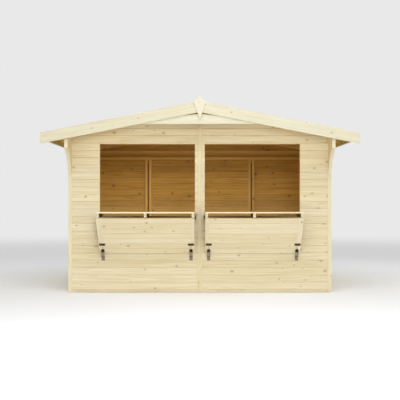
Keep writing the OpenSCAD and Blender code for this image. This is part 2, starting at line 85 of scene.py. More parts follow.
IRON = 0.003                        # thickness of the hinges' plates
EASED = 0.002                       # how far a planed edge is taken off

# Heads, each with its radius, its height and its number of sides
NAIL, CLOUT, BAR_SCREW = (0.0022, 0.0007, 6), (0.0045, 0.0007, 8), (0.0035, 0.0008, 10)
LEAF_BOLT, STRAP_BOLT = (0.0065, 0.0035, 10), (0.006, 0.003, 10)
BUTTON_SCREW, DOOR_BOLT = (0.0045, 0.002, 10), (0.005, 0.0025, 10)

X, Y, Z = Vector((1, 0, 0)), Vector((0, 1, 0)), Vector((0, 0, 1))
SIDES = {"left": -1, "right": 1}

# ---- colours of the timber ----
KNOT, INSIDE_KNOT = (0.38, 0.275, 0.12), (0.18, 0.085, 0.014)
BOARD_LIGHT, BOARD_DARK = (0.76, 0.684, 0.484), (0.585, 0.465, 0.245)
TRIM_LIGHT, TRIM_DARK = (0.69, 0.66, 0.515), (0.565, 0.505, 0.325)
# the rough inner faces; their deep, saturated orange also stands in for the warm light bounced round the inside
# (painted light)
INSIDE_LIGHT, INSIDE_DARK = (0.72, 0.455, 0.09), (0.29, 0.145, 0.015)
FRAME_LIGHT, FRAME_DARK = (0.88, 0.61, 0.19), (0.50, 0.30, 0.06)
# painted shade for shaded faces, and painted light for the inside near the floor
PAINTED_SHADE, PAINTED_LIGHT = (0.20, 0.125, 0.04), (0.78, 0.63, 0.27)


# ---- materials ----
class Wire:
    """The output of a shader node. Arithmetic on it adds Math nodes."""

    def __init__(self, finish, socket):
        self.finish = finish
        self.socket = socket

    def other(self, name):
        """Another output of the same node"""
        return Wire(self.finish, self.socket.node.outputs[name])

    def __add__(self, value):
        return self.finish.maths("ADD", self, value)

    __radd__ = __add__

    def __sub__(self, value):
        return self.finish.maths("SUBTRACT", self, value)

    def __rsub__(self, value):
        return self.finish.maths("SUBTRACT", value, self)

    def __mul__(self, value):
        return self.finish.maths("MULTIPLY", self, value)

    __rmul__ = __mul__

    def __truediv__(self, value):
        return self.finish.maths("DIVIDE", self, value)

    def __pow__(self, value):
        return self.finish.maths("POWER", self, value)


class Finish:
    """A material in the making, round one Principled shader, or a world round its background"""

    def __init__(self, name, world=False):
        self.material = (bpy.data.worlds if world else bpy.data.materials).new(name)
        self.material.use_nodes = True
        self.tree = self.material.node_tree
        self.tree.nodes.clear()
        shader, output = (("ShaderNodeBackground", "ShaderNodeOutputWorld") if world
                          else ("ShaderNodeBsdfPrincipled", "ShaderNodeOutputMaterial"))
        self.shader = self.tree.nodes.new(shader)
        self.output = self.tree.nodes.new(output)
        self.tree.links.new(self.shader.outputs[0], self.output.inputs["Surface"])

    def node(self, kind, settings=None, inputs=None, output=0):
        """Adds a node with its settings, then the values or wires of its sockets"""
        node = self.tree.nodes.new(kind)
        for name, value in (settings or {}).items():
            setattr(node, name, value)
        for name, value in (inputs or {}).items():
            self.plug(node.inputs[name], value)
        return Wire(self, node.outputs[output])

    def plug(self, socket, value):
        """Sets a socket, or links it to a wire"""
        if isinstance(value, Wire):
            self.tree.links.new(value.socket, socket)
        elif isinstance(value, tuple) and len(value) == 3 and socket.type == "RGBA":
            socket.default_value = (*value, 1)
        else:
            socket.default_value = value

    def maths(self, operation, first, second=0.0):
        return self.node("ShaderNodeMath", {"operation": operation}, {0: first, 1: second})

    def vector(self, x, y, z=0.0):
        return self.node("ShaderNodeCombineXYZ", inputs={0: x, 1: y, 2: z})

    def parts(self, vector):
        """A vector's three parts"""
        x = self.node("ShaderNodeSeparateXYZ", inputs={0: vector})
        return x, x.other("Y"), x.other("Z")

    def place(self):
        """Where a point lies on the object, in metres"""
        return self.node("ShaderNodeTexCoord", output="Object")

    def noise(self, vector, scale=1.0, detail=2.0, roughness=0.5):
        return self.node("ShaderNodeTexNoise", inputs={
            "Vector": vector, "Scale": scale, "Detail": detail, "Roughness": roughness})

    def step(self, value, low, high):
        """Rises smoothly from 0 at low to 1 at high"""
        return self.node("ShaderNodeMapRange", {"interpolation_type": "SMOOTHSTEP"}, {
            "Value": value, "From Min": low, "From Max": high})

    def mix(self, amount, first, second):
        """Mixes two colours"""
        return self.node("ShaderNodeMix", {"data_type": "RGBA"}, {0: amount, 6: first, 7: second}, output=2)

    def set(self, **sockets):
        """Sets or links the shader's own sockets; Base_Color means Base Color"""
        for name, value in sockets.items():
            self.plug(self.shader.inputs[name.replace("_", " ")], value)
        return self.material

    def shown(self):
        """1 where the camera looks, also by way of metal or glass"""
        path = self.node("ShaderNodeLightPath", output="Is Camera Ray")
        return self.maths("MAXIMUM", path, self.maths(
            "MAXIMUM", path.other("Is Glossy Ray"), path.other("Is Transmission Ray")))

    def relief(self, height, depth, strength):
        """Raises the surface by height times depth"""
        bump = self.node("ShaderNodeBump", inputs={
            "Height": height, "Distance": depth, "Strength": strength})
        self.plug(self.shader.inputs["Normal"], bump)


def lie_of_board(finish):
    """Along and across the grain, two numbers of the board's own, and 1 on sawn ends and in hollows; in the
    hollows the darkening it brings is painted shade
    """
    along, across, _ = finish.parts(finish.node("ShaderNodeUVMap", {"uv_map": "grain"}))
    tone, mood, _ = finish.parts(finish.node("ShaderNodeUVMap", {"uv_map": "board"}))
    end = finish.maths("GREATER_THAN", mood, 1.5)
    return along, across, tone, mood, end


def lie_of_timber(grain):
    """The same for the frame's own timbers, with the grain along X, Y or Z"""

    def lie(finish):
        x, y, z = finish.parts(finish.place())
        normals = finish.parts(finish.node("ShaderNodeNewGeometry", output="True Normal"))
        along, first, second, index = {"x": (x, y, z, 0), "y": (y, x, z, 1), "z": (z, x, y, 2)}[grain]
        # timbers that lie about a quarter of a metre apart get numbers of their own
        cell = finish.vector(finish.maths("ROUND", first * 4.1 + 0.37),
                             finish.maths("ROUND", second * 4.1 + 0.21))
        own = finish.node("ShaderNodeTexWhiteNoise", {"noise_dimensions": "3D"}, {"Vector": cell})
        tone, mood, _ = finish.parts(own.other("Color"))
        end = finish.maths("GREATER_THAN", finish.maths("ABSOLUTE", normals[index]), 0.7)
        return along + tone * 7, first + second + mood * 5, tone, mood, end

    return lie


def painted_shade_inward(finish):
    """1 on faces that look towards the cabin's middle, which are painted darker as shade"""
    x, _, _ = finish.parts(finish.place())
    normal_x, _, _ = finish.parts(finish.node("ShaderNodeNewGeometry", output="True Normal"))
    return finish.maths("LESS_THAN", normal_x * finish.maths("SIGN", x), -0.7)


def painted_shade_under_bargeboards(finish):
    """1 where shade under the bargeboards is painted on the gable plate, widest at the ridge"""
    x, _, z = finish.parts(finish.place())
    out = finish.maths("ABSOLUTE", x)
    above = (z - APEX) * math.cos(PITCH) + out * math.sin(PITCH) + BARGE[1]
    return finish.step(above + 0.022 - out * 0.1, -0.003, 0.001)


def painted_light_beyond_walls(finish):
    """1 under the eaves and the canopies, where the boards are painted lighter for the daylight there (painted
    light)
    """
    x, y, _ = finish.parts(finish.place())
    out = finish.maths("MAXIMUM", finish.maths("ABSOLUTE", x), finish.maths("ABSOLUTE", y))
    return finish.maths("GREATER_THAN", out, HALF - 0.01)


def lower_edge(finish):
    """Grows down the tie board's face, which the shade deepens towards its lower edge"""
    _, _, z = finish.parts(finish.place())
    low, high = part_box("back_tie_board")
    return finish.step(z, high.z, low.z)


def painted_light_low_down(finish):
    """Grows towards the floor, where the inside is painted paler for the daylight that reaches it (painted light)
    """
    _, _, z = finish.parts(finish.place())
    return finish.step(z, 1.40, 1.0) * 0.35


def softwood(name, lie, light, dark, knot, knots=0.5, rough=0.55, stain_and_painted_light=None, painted_tone=PAINTED_SHADE):
    """Planed pine or spruce: growth rings that bend round knots, fine fibre, and boards that differ in tone.
    The share of places with a knot is knots. Where the mask passed in is 1, the colour turns to the tone passed
    in, which paints light into some finishes and shade into others."""
    f = Finish(name)
    along, across, tone, mood, end = lie(f)

    # one place for a knot in each cell of the grain, and how far off its middle lies
    cell_u, cell_v = 0.34, 0.12
    cells = f.node("ShaderNodeTexVoronoi", {"voronoi_dimensions": "2D"}, {
        "Vector": f.vector(along / cell_u, across / cell_v), "Scale": 1.0, "Randomness": 0.9}, output="Color")
    pick, size, _ = f.parts(cells)
    middle_u, middle_v, _ = f.parts(cells.other("Position"))
    off_u = along - middle_u * cell_u
    off_v = across - middle_v * cell_v
    away = (off_u * off_u * 0.55 + off_v * off_v) ** 0.5
    kept = f.maths("LESS_THAN", pick, knots)
    radius = size * size * 0.010 + 0.0045
    core = f.step(away / radius, 1.15, 0.75) * kept
    halo = f.step(away / radius, 3.2, 0.8) * kept

    # growth rings, which bend round the knot, and the finer figure
    bent = across - off_v * f.step(away, 0.055, 0.0) * kept * 0.8
    growth = f.noise(f.vector(along * 0.22, bent * 8.5, mood * 30), detail=1.2, roughness=0.35)
    ring = f.maths("FRACT", growth * 21 + tone * 3)
    late = f.step(ring, 0.35, 0.95) * f.step(ring, 1.0, 0.96)
    fibre = f.noise(f.vector(along * 14, across * 620, tone * 9), detail=1.0)
    slow = f.noise(f.vector(along * 1.3, across * 9, mood * 11), detail=1.0)
    streak = f.noise(f.vector(along * 2.2, across * 62, tone * 23), detail=3.0)
    darkness = (late * 0.27 + (fibre - 0.5) * 0.3 + (streak - 0.5) * 1.1
                + (tone - 0.5) * 0.34 + (slow - 0.5) * 0.4 + 0.25)

    colour = f.mix(f.maths("MAXIMUM", darkness, 0.0), light, dark)
    warm = tuple(0.5 * (a + b) for a, b in zip(dark, knot))
    colour = f.mix(halo * 0.4, colour, warm)
    colour = f.mix(core * (0.6 + f.noise(f.vector(off_u * 60, off_v * 160)) * 0.4), colour, knot)
    # darker on end grain, and painted shade on hollow sides
    colour = f.mix(end * 0.65, colour, dark)
    # painted light and shade: where the mask is 1 the colour takes the given tone
    if stain_and_painted_light:
        colour = f.mix(stain_and_painted_light(f), colour, painted_tone)
    f.relief(fibre * 0.3 - late * 0.35 - core * 0.4, 0.0006, 0.6)
    return f.set(Base_Color=colour, Roughness=fibre * 0.14 + rough + core * -0.12)


def mineral_felt(name):
    """Mineral felt: green-grey grit on bitumen"""
    f = Finish(name)
    place = f.place()
    grit = f.noise(place, 620, 1.0)
    patch = f.step(f.noise(place, 1.7, 4.0), 0.3, 0.7)
    colour = f.mix(f.step(grit, 0.35, 0.68), (0.03, 0.038, 0.033), (0.18, 0.215, 0.18))
    colour = f.mix(patch * 0.5, colour, (0.10, 0.13, 0.11))
    f.relief(grit + patch * 0.6, 0.0009, 0.8)
    return f.set(Base_Color=colour, Roughness=grit * 0.1 + 0.85)


def japanned_steel(name):
    """Black japanned steel, faintly hammered"""
    f = Finish(name)
    place = f.place()
    dents = f.noise(place, 190, 1.5)
    dust = f.noise(place, 26, 3.0)
    colour = f.mix(f.step(dust, 0.35, 0.8), (0.018, 0.012, 0.005), (0.055, 0.038, 0.016))
    f.relief(dents, 0.0005, 0.5)
    return f.set(Base_Color=colour, Roughness=dust * 0.2 + 0.55, Specular_IOR_Level=0.12)


def plated(name, is_bare, zinc=(0.33, 0.26, 0.175)):
    """Zinc plate with black japanning where is_bare(finish, height) is 0; on the flap hinges part of that black
    is painted shade
    """
    f = Finish(name)
    place = f.place()
    _, _, height = f.parts(place)
    bare = is_bare(f, height)
    stretched = f.node("ShaderNodeMapping", inputs={"Vector": place, "Scale": (260.0, 60.0, 30.0)})
    scratches = f.noise(stretched, 1.0, 2.0)
    stain_and_painted_light = f.noise(place, 34, 3.0)
    worn = f.mix(stain_and_painted_light, zinc, tuple(0.7 * c for c in zinc))
    black = f.mix(stain_and_painted_light, (0.022, 0.015, 0.004), (0.055, 0.038, 0.014))
    f.relief(scratches, 0.0003, 0.4)
    return f.set(Base_Color=f.mix(bare, black, worn), Metallic=bare * 0.3, Roughness=scratches * 0.2 + 0.5,
                 Specular_IOR_Level=0.1)


def dulled_steel(name, colour):
    """Nail and screw heads, dulled unevenly"""
    f = Finish(name)
    stain_and_painted_light = f.noise(f.place(), 90, 2.0)
    return f.set(Base_Color=f.mix(stain_and_painted_light, colour, tuple(0.6 * c for c in colour)), Metallic=0.6,
                 Roughness=stain_and_painted_light * 0.2 + 0.5)


shiplap = softwood("shiplap_pine", lie_of_board, BOARD_LIGHT, BOARD_DARK, KNOT)
# painted light: the inner faces are paler towards the floor
shiplap_back = softwood("shiplap_back", lie_of_board, INSIDE_LIGHT, INSIDE_DARK, INSIDE_KNOT, knots=0.6,
                        stain_and_painted_light=painted_light_low_down, painted_tone=PAINTED_LIGHT)
# a paler, less yellow copy of the wall boards' colour: painted light for the flaps, which face down towards the
# floor
flap_pine_painted_light = softwood("flap_pine_painted_light", lie_of_board, (0.83, 0.755, 0.555), (0.65, 0.53, 0.30), KNOT, knots=0.42)
planed_trim = softwood("planed_trim", lie_of_board, TRIM_LIGHT, TRIM_DARK, KNOT, knots=0.34)
strip_pine = softwood("strip_pine", lie_of_board, (0.75, 0.675, 0.465), (0.59, 0.49, 0.26), KNOT, knots=0.22)
# pale planed boards; part of their paleness is painted light for the strong light on the bar top
bar_planks = softwood("bar_planks", lie_of_board, (0.96, 0.86, 0.59), (0.85, 0.71, 0.42), KNOT,
                      knots=0.16, rough=0.45)
# painted light: lighter under the eaves and the canopies
roof_planks = softwood("roof_planks", lie_of_board, (0.36, 0.225, 0.045), (0.19, 0.105, 0.015), KNOT,
                       stain_and_painted_light=painted_light_beyond_walls, painted_tone=(0.62, 0.47, 0.15))
floor_planks = softwood("floor_planks", lie_of_board, INSIDE_LIGHT, INSIDE_DARK, KNOT)
# painted shade on the gable plate under the bargeboards
plate_timber = softwood("gable_plate", lie_of_timber("x"), TRIM_LIGHT, TRIM_DARK, KNOT, knots=0.12,
                        stain_and_painted_light=painted_shade_under_bargeboards)
# painted shade on the faces of the fascias and bar bearers that look towards the middle
fascia_timber = softwood("eaves_fascias", lie_of_timber("y"), TRIM_LIGHT, TRIM_DARK, KNOT, knots=0.12,
                         stain_and_painted_light=painted_shade_inward, painted_tone=(0.56, 0.41, 0.12))
bearer_pine = softwood("bar_bearers", lie_of_timber("y"), TRIM_LIGHT, TRIM_DARK, KNOT, knots=0.12, stain_and_painted_light=painted_shade_inward)
beam_timber = softwood("canopy_beams", lie_of_timber("y"), BOARD_LIGHT, BOARD_DARK, KNOT, knots=0.12)
inner_timber = {grain: softwood("framing_grain_" + grain, lie_of_timber(grain), FRAME_LIGHT, FRAME_DARK,
                                INSIDE_KNOT, knots=0.3) for grain in "xyz"}
tie_timber = softwood("tie_board", lie_of_timber("x"), FRAME_LIGHT, FRAME_DARK, INSIDE_KNOT, knots=0.3,
                      stain_and_painted_light=lower_edge, painted_tone=(0.44, 0.25, 0.035))
bearer_timber = softwood("treated_bearers", lie_of_timber("y"), (0.40, 0.37, 0.20), (0.28, 0.27, 0.13),
                         (0.10, 0.08, 0.03))
# packing coloured very dark as painted shade in the joints between paired studs
packing_painted_shade = softwood("packing_painted_shade", lie_of_board, (0.20, 0.105, 0.02), (0.12, 0.06, 0.01), INSIDE_KNOT,
                        knots=0.0)
felt_grit = mineral_felt("felt_grit")
black_iron = japanned_steel("black_iron")
# the straps are bare under their barrels, the leaves on their necks and a little on the cross plates' lower half;
# the black round the barrels is painted shade, and the leaves' pale zinc a painted reflection
strap_plate = plated("strap_plate", lambda f, z: f.step(z, 0.556, 0.546))
leaf_plate = plated("leaf_plate", lambda f, z: f.step(z, 0.590, 0.596) * (
    f.step(z, 0.641, 0.636) * 0.75 + f.step(z, 0.653, 0.647) * 0.25), (0.80, 0.72, 0.52))
zinc_bolts = plated("zinc_bolts", lambda f, z: 1.0)
nail_heads = dulled_steel("nail_heads", (0.42, 0.35, 0.24))
felt_nails = dulled_steel("felt_nails", (0.30, 0.31, 0.30))


# ---- making pieces ----
class Stock:
    """Boards and the like gathered in one mesh. Two UV maps hold the grain and each board's own numbers."""

    def __init__(self, name):
        self.name = name
        self.dice = random.Random(name)
        self.mesh = bmesh.new()
        self.grain = self.mesh.loops.layers.uv.new("grain")
        self.board = self.mesh.loops.layers.uv.new("board")

    def mark(self, face, places, numbers):
        """Writes the two UV maps on a face"""
        for loop, place in zip(face.loops, places):
            loop[self.grain].uv = place
            loop[self.board].uv = numbers

    def draw(self):
        """The numbers of the next board: its tone and mood, and where its grain starts"""
        return (self.dice.random(), self.dice.random(), self.dice.uniform(0, 40), self.dice.uniform(0, 40))

    def rings(self, outline, start, first, second, third, reach):
        """An outline of (first, second) points at start, and again at its reach along third"""
        return [[self.mesh.verts.new(start + first * a + second * b + third * depth) for a, b in outline]
                for depth in (0, reach)]

    def run(self, outline, start, along, length, across, up, back=0, hollow=()):
        """Runs an outline along the grain. Its points are (across, up) from start.
        Its last sides, as many as back says, get the second finish, and its hollow sides are painted darker, as
        shade."""
        tone, mood, slide, shift = self.draw()
        rings = self.rings(outline, Vector(start), across, up, along, length)
        faces = []
        girth = shift
        for i, corner in enumerate(outline):
            j = (i + 1) % len(outline)
            side = math.dist(corner, outline[j])
            face = self.mesh.faces.new((rings[0][i], rings[0][j], rings[1][j], rings[1][i]))
            corners = ((slide, girth), (slide, girth + side),
                       (slide + length, girth + side), (slide + length, girth))
            self.mark(face, corners, (tone, mood + (2 if i in hollow else 0)))
            if i >= len(outline) - back:
                face.material_index = 1
            faces.append(face)
            girth += side
        for ring, points in ((rings[0][::-1], outline[::-1]), (rings[1], outline)):
            face = self.mesh.faces.new(ring)
            self.mark(face, [(slide + a, shift + b) for a, b in points], (tone, mood + 2))
            faces.append(face)
        return faces

    def cut(self, point, normal, faces=None, ripped=False):
        """Saws off what lies on the normal's side of a plane, from the given faces' boards or from all.
        The cut is end grain, or in the second finish where it is ripped along the board."""
        faces = self.mesh.faces[:] if faces is None else [f for f in faces if f.is_valid]
        parts = set(faces)
        for face in faces:
            parts.update(face.edges)
            parts.update(face.verts)
        result = bmesh.ops.bisect_plane(self.mesh, geom=list(parts), dist=1e-6, plane_co=point,
                                        plane_no=normal, clear_outer=True)
        rim = [e for e in result["geom_cut"] if isinstance(e, bmesh.types.BMEdge) and e.is_boundary]
        ends = set(bmesh.ops.holes_fill(self.mesh, edges=rim, sides=0)["faces"])
        for face in ends:
            face.material_index = 1 if ripped else 0
            for loop in face.loops:
                near = next((other for other in loop.vert.link_loops if other.face not in ends), None)
                if near:
                    loop[self.grain].uv = near[self.grain].uv
                    tone, mood = near[self.board].uv
                    loop[self.board].uv = (tone, mood % 2 + 2)
        kept = {part for part in result["geom"] if isinstance(part, bmesh.types.BMFace)}
        return [face for face in kept | ends if face.is_valid]

    def panel(self, outline, start, along, up, through, thickness, grain_up=False):
        """A flat piece cut to an outline of (along, up) points, with its edges eased"""
        start = Vector(start)
        tone, mood, slide, shift = self.draw()
        rings = self.rings(outline, start, along, up, through, thickness)
        faces = [self.mesh.faces.new(rings[0][::-1]), self.mesh.faces.new(rings[1])]
        for i in range(len(outline)):
            j = (i + 1) % len(outline)
            faces.append(self.mesh.faces.new((rings[0][i], rings[0][j], rings[1][j], rings[1][i])))
        rims = set(faces[0].edges) | set(faces[1].edges)
        edges = bmesh.ops.bevel(self.mesh, geom=list(rims), offset=EASED, segments=2, affect="EDGES", profile=0.6)
        for face in set(edges["faces"]) | {f for f in faces if f.is_valid}:
            for loop in face.loops:
                reach = loop.vert.co - start
                a, b, depth = reach.dot(along), reach.dot(up), reach.dot(through)
                a, b = (b, a) if grain_up else (a, b)
                loop[self.grain].uv = (slide + a, shift + b + depth)
                loop[self.board].uv = (tone, mood)

    def dome(self, place, normal, head):
        """A screw, nail or bolt head"""
        radius, height, sides = head
        turn = normal.to_track_quat("Z", "Y")
        place = Vector(place)
        rings = []
        for share, rise in ((1.0, 0.0), (0.95, 0.5), (0.55, 0.95)):
            rings.append([self.mesh.verts.new(place + turn @ Vector((
                radius * share * math.cos(math.tau * i / sides),
                radius * share * math.sin(math.tau * i / sides), height * rise))) for i in range(sides)])
        for low, high in zip(rings, rings[1:]):
            for i in range(sides):
                j = (i + 1) % sides
                self.mesh.faces.new((low[i], low[j], high[j], high[i]))
        self.mesh.faces.new(rings[-1])
        self.mesh.faces.new(rings[0][::-1])

    def done(self, slot, finishes, body="cabin", stands_for=()):
        """Turns the mesh into a piece that rides on a body"""
        bmesh.ops.recalc_face_normals(self.mesh, faces=self.mesh.faces)
        mesh = bpy.data.meshes.new(self.name)
        self.mesh.to_mesh(mesh)
        self.mesh.free()
        for finish in finishes:
            mesh.materials.append(finish)
        piece = bpy.data.objects.new(self.name, mesh)
        bpy.context.collection.objects.link(piece)
        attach(piece, body)
        if stands_for:
            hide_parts(*stands_for)


# Section of a shiplap board: a flat face that hollows back under the next board, rebated behind
SHIPLAP = [(0.006, 0), (BOARD - 0.001, 0), (BOARD, 0.0012), (BOARD, COVER - 0.0105),
           (BOARD - 0.0010, COVER - 0.0080), (BOARD - 0.0028, COVER - 0.0045), (BOARD - 0.0050, COVER - 0.0020),
           (BOARD - 0.0062, COVER), (0, COVER), (0, 0.006), (0.006, 0.006)]
SHIPLAP_BACK = 3                    # how many of its last sides are the back
SHIPLAP_REBATE = (7, 9, 10)         # its sides in the rebates, painted darker as shade
# the hollow's sides and the rebates', painted darker as shade on the flaps
SHIPLAP_HOLLOW = (3, 4, 5, 6, *SHIPLAP_REBATE)


def eased(width, thickness, ease=EASED):
    """Section of a planed board with its four edges eased"""
    return [(ease, 0), (width - ease, 0), (width, ease), (width, thickness - ease), (width - ease, thickness),
            (ease, thickness), (0, thickness - ease), (0, ease)]


def grooved(cover, thickness, groove=0.0025):
    """Section of a tongued board that has a vee along each joint, on its lower face at 0"""
    return [(0, groove), (groove, 0), (cover - groove, 0), (cover, groove), (cover, thickness), (0, thickness)]


def roof_slope(side):
    """The ways down a side of the roof and square out of it"""
    down = Vector((side * math.cos(PITCH), 0, -math.sin(PITCH)))
    square = Vector((side * math.sin(PITCH), 0, math.cos(PITCH)))
    return down, square


def roof_plane(drop, side):
    """A point and the normal of a plane of the roof, drop below the bargeboards' top edge"""
    _, square = roof_slope(side)
    return Z * APEX - square * drop, square


def under_roof(x, height):
    """Whether a nail clears the roof"""
    return height < APEX - abs(x) * math.tan(PITCH) - 0.07


def board_joints():
    """Bottom edge of each shiplap board up a wall"""
    z = FIRST_JOINT - COVER
    while z < APEX:
        yield z
        z += COVER


def clad(stock, span, start, along, out, openings):
    """Shiplap boards up a wall between the ends of span, left out of openings (from, to, bottom, top)"""
    for z in board_joints():
        near = [o for o in openings if o[2] < z + COVER - 1e-4 and o[3] > z + 1e-4]
        stops = sorted({*span, *(max(span[0], min(span[1], e)) for o in near for e in o[:2])})
        for left, right in zip(stops, stops[1:]):
            over = [o for o in near if o[0] < (left + right) / 2 < o[1]]
            low = max([o[3] for o in over if o[3] < z + COVER], default=None)
            high = min([o[2] for o in over if o[2] > z], default=None)
            if over and low is None and high is None:
                continue
            faces = stock.run(SHIPLAP, Vector(start) + along * left + Z * z, along, right - left, out, Z,
                              SHIPLAP_BACK, SHIPLAP_REBATE)
            if low is not None:
                stock.cut(Z * low, -Z, faces)
            elif high is not None:
                stock.cut(Z * high, Z, faces)
    stock.cut(Z * BOARDS_FROM, -Z)
    for side in SIDES.values():
        stock.cut(*roof_plane(RAFTER_UNDER, side))


# ---- walls ----
ROUND_BEAM = (-RIDGE_BEAM[0], RIDGE_BEAM[0], RIDGE_BEAM[1], 2 * APEX)  # opening for the ridge beam's end

for name, side in SIDES.items():
    wall = Stock("shiplap_front_" + name)
    clad(wall, (0, HALF), (0, -INNER, 0), X * side, -Y, [(*HATCH, SILL, HEAD), ROUND_BEAM])
    wall.done("cladding", [shiplap, shiplap_back], stands_for=["front_cladding_" + name])
    wall = Stock("shiplap_side_" + name)
    door = [(*DOOR_Y, *DOOR_Z)] if side > 0 else []
    clad(wall, (-INNER, INNER), (side * INNER, 0, 0), Y, X * side, door)
    wall.done("cladding", [shiplap, shiplap_back], stands_for=[name + "_cladding"])

wall = Stock("shiplap_back_wall")
clad(wall, (-HALF, HALF), (0, INNER, 0), X, Y, [ROUND_BEAM])
wall.done("cladding", [shiplap, shiplap_back], stands_for=["back_cladding"])

strips = Stock("cover_and_corner_strips")
cover, corner = eased(COVER_STRIP, STRIP), eased(CORNER_STRIP, STRIP)
strips.run(cover, (-COVER_STRIP / 2, -HALF, BOARDS_FROM), Z, RIDGE_BEAM[1] - BOARDS_FROM, X, -Y)
for side in SIDES.values():
    strips.run(corner, (side * HALF, -HALF, BOARDS_FROM), Z, CORBEL_FOOT - BOARDS_FROM, X * -side, -Y)
    faces = strips.run(corner, (side * HALF, HALF, BOARDS_FROM), Z, APEX, X * -side, Y)
    strips.cut(*roof_plane(RAFTER_UNDER, side), faces)
strips.done("trim", [strip_pine], stands_for=["cover_strips"])

# packing in the panel joints, whose dark colour is painted shade between the paired studs
seams = Stock("panel_seams")
foot, height = 2 * FLOOR_TOP, DOOR_Z[1] - 2 * FLOOR_TOP
face = INNER - 0.001                # the packing is let into the boards by a millimetre
for joint in PANEL_JOINTS:
    start = joint - PACKING[0] / 2
    seams.run(eased(*PACKING), (start, face, foot), Z, height, X, -Y)
    seams.run(eased(*PACKING), (-face, start, foot), Z, height, Y, X)
    if joint < 0:                   # the door stands in the way of the others
        seams.run(eased(*PACKING), (face, start, foot), Z, height, Y, -X)
seams.done("framing", [packing_painted_shade])

NAIL_RISE = 0.030                   # from a board's bottom edge to its nails
UNDER_EAVES = 2.14                  # no nails above this in the side walls
OVER_STUDS = (-1.760, -0.934, -0.866, -0.034, 0.034, 0.866, 0.934, 1.760)
CORNER_NAILS = 1.730                # these would lie behind the corbels further up

nails = Stock("cladding_nails")
for z in board_joints():
    height = z + NAIL_RISE
    if height < BOARDS_FROM:
        continue
    for place in OVER_STUDS:
        if height < UNDER_EAVES:
            nails.dome((-HALF, place, height), -X, NAIL)
            if not (DOOR_Y[0] - 0.01 < place < DOOR_Y[1] + 0.01 and height < DOOR_Z[1]):
                nails.dome((HALF, place, height), X, NAIL)
        if under_roof(place, height):
            nails.dome((place, HALF, height), Y, NAIL)
    for place in (0.050, 1.390, CORNER_NAILS):
        if under_roof(place, height) and (height < CORBEL_FOOT or place < CORNER_NAILS):
            for side in SIDES.values():
                nails.dome((side * place, -HALF, height), -Y, NAIL)
nails.done("cladding", [nail_heads])

# ---- side door ----
DOOR_BOARDS = 7

door = Stock("door_boards")
low, high = DOOR_Y[0] + DOOR_GAP, DOOR_Y[1] - DOOR_GAP
width = (high - low) / DOOR_BOARDS
for i in range(DOOR_BOARDS):
    door.run(grooved(width, BOARD, 0.003), (HALF, low + i * width, DOOR_Z[0] + DOOR_GAP), Z,
             DOOR_Z[1] - DOOR_Z[0] - 2 * DOOR_GAP, Y, -X, back=2)
door.done("cladding", [shiplap, shiplap_back], stands_for=["door_leaf"])

# ---- floor ----
FLOOR_BOARDS = 30

floor = Stock("floor_boards")
width = 2 * INNER / FLOOR_BOARDS
section = grooved(width, FLOOR_UNDER - FLOOR_TOP, -0.0012)  # measured down from its top, which has the vees
for i in range(FLOOR_BOARDS):
    floor.run(section, (-INNER, -INNER + i * width, FLOOR_TOP), X, 2 * INNER, Y, Z)
floor.done("framing", [floor_planks], stands_for=["floor_deck"])

# ---- roof ----
ROOF_BOARDS, ROOF_BOARD = 20, 0.1135  # number on a side, and the width that one covers
RIDGE = Z * APEX + Y * ROOF_FRONT   # the ridge's front end
ROOF_LENGTH = ROOF_BACK - ROOF_FRONT
SLOPE = EAVE / math.cos(PITCH)      # from the ridge down to the eaves
CLOUTS_APART = 0.075

for name, side in SIDES.items():
    down, square = roof_slope(side)
    deck = Stock("roof_boards_" + name)
    for i in range(ROOF_BOARDS):
        start = RIDGE - square * DECK_UNDER + down * (i - 0.3) * ROOF_BOARD  # the first runs past the ridge
        deck.run(grooved(ROOF_BOARD, DECK_UNDER - DECK_TOP), start, Y, ROOF_LENGTH, down, square)
    deck.cut((0, 0, 0), X * -side)
    deck.cut((side * (EAVE - FASCIA), 0, 0), X * side)
    deck.done("roof_boards", [roof_planks], stands_for=["roof_deck_" + name])

felt = Stock("roof_felt_strips")
clouts = Stock("felt_clouts")
for side in SIDES.values():
    down, square = roof_slope(side)
    # from the eaves up, each lapping over the last: how far its top lies under the bargeboards', and its edges
    for top, upper, lower in ((0.0040, 1.17, SLOPE + 0.1), (0.0026, 0.22, 1.25), (0.0010, -0.1, 0.30)):
        laps = lower < SLOPE
        if laps:
            section = [(upper, -DECK_TOP), (upper, -DECK_TOP + 0.003), (lower - 0.02, -top), (lower, -top),
                       (lower, -top - 0.0022), (lower - 0.02, -DECK_TOP)]
        else:
            section = [(upper, -DECK_TOP), (upper, -top), (lower, -top), (lower, -DECK_TOP)]
        strip = felt.run(section, RIDGE, Y, ROOF_LENGTH, down, square)
        if upper < 0:
            felt.cut((0, 0, 0), X * -side, strip)
        if laps:
            for i in range(int(ROOF_LENGTH / CLOUTS_APART)):
                place = RIDGE + Y * (0.04 + i * CLOUTS_APART) + down * (lower - 0.022) - square * top
                clouts.dome(place, square, CLOUT)
felt.cut((-EAVE, 0, 0), -X)
felt.cut((EAVE, 0, 0), X)
felt.done("felt", [felt_grit], stands_for=["roof_felt"])
clouts.done("felt", [felt_nails])


def bargeboards(name, y, node):
    """A pair of bargeboards with their front face at y, mitred at the ridge and plumb at the eaves"""
    pair = Stock(name)
    for side in SIDES.values():
        down, square = roof_slope(side)
        start = Z * APEX - square * BARGE[1] - down * 0.05 + Y * y
        board = pair.run(eased(*BARGE), start, down, EAVE * 1.06, Y, square)  # over long at both ends
        board = pair.cut((side * 0.0005, 0, 0), X * -side, board)
        pair.cut((side * EAVE, 0, 0), X * side, board)
    pair.done("trim", [planed_trim], stands_for=[node])


bargeboards("bargeboards_front", ROOF_FRONT - BARGE[0], "front_bargeboards")
bargeboards("bargeboards_back", ROOF_BACK, "back_bargeboards")


